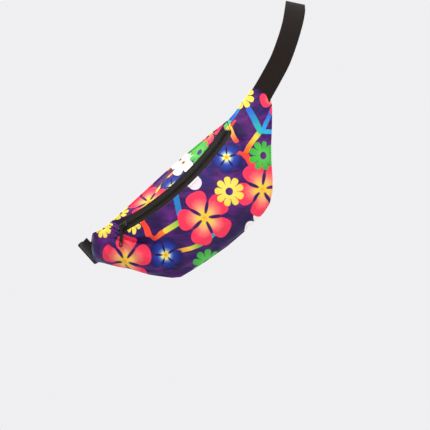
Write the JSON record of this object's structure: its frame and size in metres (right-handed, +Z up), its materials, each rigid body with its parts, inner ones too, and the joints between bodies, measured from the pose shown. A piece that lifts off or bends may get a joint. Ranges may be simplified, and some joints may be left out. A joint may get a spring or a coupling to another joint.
{
  "type": "waist pack",
  "caption": "Waist pack with a full belly, two wings, a curved coil zip, a padded back and a webbing strap with a side-release buckle.",
  "frame": {"origin": "centre of the back pad's flat rear face, which rests on the wearer", "axes": "+X along the pack towards the wing that carries the strap, +Y towards the wearer, -Y is the printed front, +Z up"},
  "size_m": [0.6378, 0.3389, 0.2745],
  "materials": {
    "printed_fabric": "satin polyester, printed all over",
    "back_fabric": "plain black polyester",
    "spacer_mesh": "black spacer mesh over foam",
    "lining": "thin grey polyester lining",
    "foam": "thin grey foam",
    "zip_tape": "woven black zip tape",
    "zip_coil": "black nylon coil",
    "dark_metal": "black enamelled zinc",
    "puller": "black moulded puller",
    "webbing": "ribbed warm black polypropylene webbing",
    "elastic": "black woven elastic",
    "buckle": "black moulded acetal",
    "thread": "black bonded thread"
  },
  "bodies": {
    "pack": {"front_panel": "printed_fabric", "top_panel": "printed_fabric", "back_panel": "back_fabric", "back_pad": "spacer_mesh", "front_lining": "lining", "back_lining": "lining", "seam_binding": "lining", "wing_foam_left": "foam", "wing_foam_right": "foam", "zip_tape_upper": "zip_tape", "zip_tape_lower": "zip_tape", "zip_coil_upper": "zip_coil", "zip_coil_lower": "zip_coil", "zip_stops": "dark_metal", "zip_end_tabs": "printed_fabric", "strap": "webbing", "anchor_webbing": "webbing", "buckle_socket": "buckle", "bartacks": "thread"},
    "slider": {"slider_body": "dark_metal", "slider_bridge": "dark_metal"},
    "ring": {"pull_ring": "dark_metal"},
    "puller": {"pull_tab": "puller"},
    "keeper": {"strap_keeper": "elastic"},
    "plug": {"buckle_plug": "buckle"},
    "arm_upper": {"latch_arm_upper": "buckle"},
    "arm_lower": {"latch_arm_lower": "buckle"}
  },
  "joints": [
    {"name": "slider_travel", "type": "hinge", "parent": "pack", "child": "slider", "pos_m": [0.008, 0.1625, 0.1582], "axis": [0, -0.4571, 0.8894], "range_deg": [0, 60.5]},
    {"name": "ring_swing", "type": "hinge", "parent": "slider", "child": "ring", "pos_m": [-0.11401, -0.02643, 0.0681], "axis": [-0.6331, 0.5932, 0.4974], "range_deg": [0, 100]},
    {"name": "puller_swing", "type": "hinge", "parent": "ring", "child": "puller", "pos_m": [-0.11495, -0.02715, 0.06776], "axis": [-0.6331, 0.5932, 0.4974], "range_deg": [0, 80]},
    {"name": "keeper_slide", "type": "slide", "parent": "pack", "child": "keeper", "axis": [0, 1, 0], "range_m": [-0.006, 0.018]},
    {"name": "buckle_release", "type": "slide", "parent": "pack", "child": "plug", "axis": [0, 1, 0], "range_m": [0, 0.026], "deforming": ["strap", "latch_arm_upper", "latch_arm_lower"]},
    {"name": "arm_upper_squeeze", "type": "hinge", "parent": "plug", "child": "arm_upper", "pos_m": [-0.207, 0.137, 0.0895], "axis": [1, 0, 0], "range_deg": [0, 10]},
    {"name": "arm_lower_squeeze", "type": "hinge", "parent": "plug", "child": "arm_lower", "pos_m": [-0.207, 0.137, 0.0625], "axis": [1, 0, 0], "range_deg": [-10, 0]}
  ],
  "couplings": [
    {"joint": "arm_lower_squeeze", "follows": "arm_upper_squeeze", "ratio": -1}
  ]
}
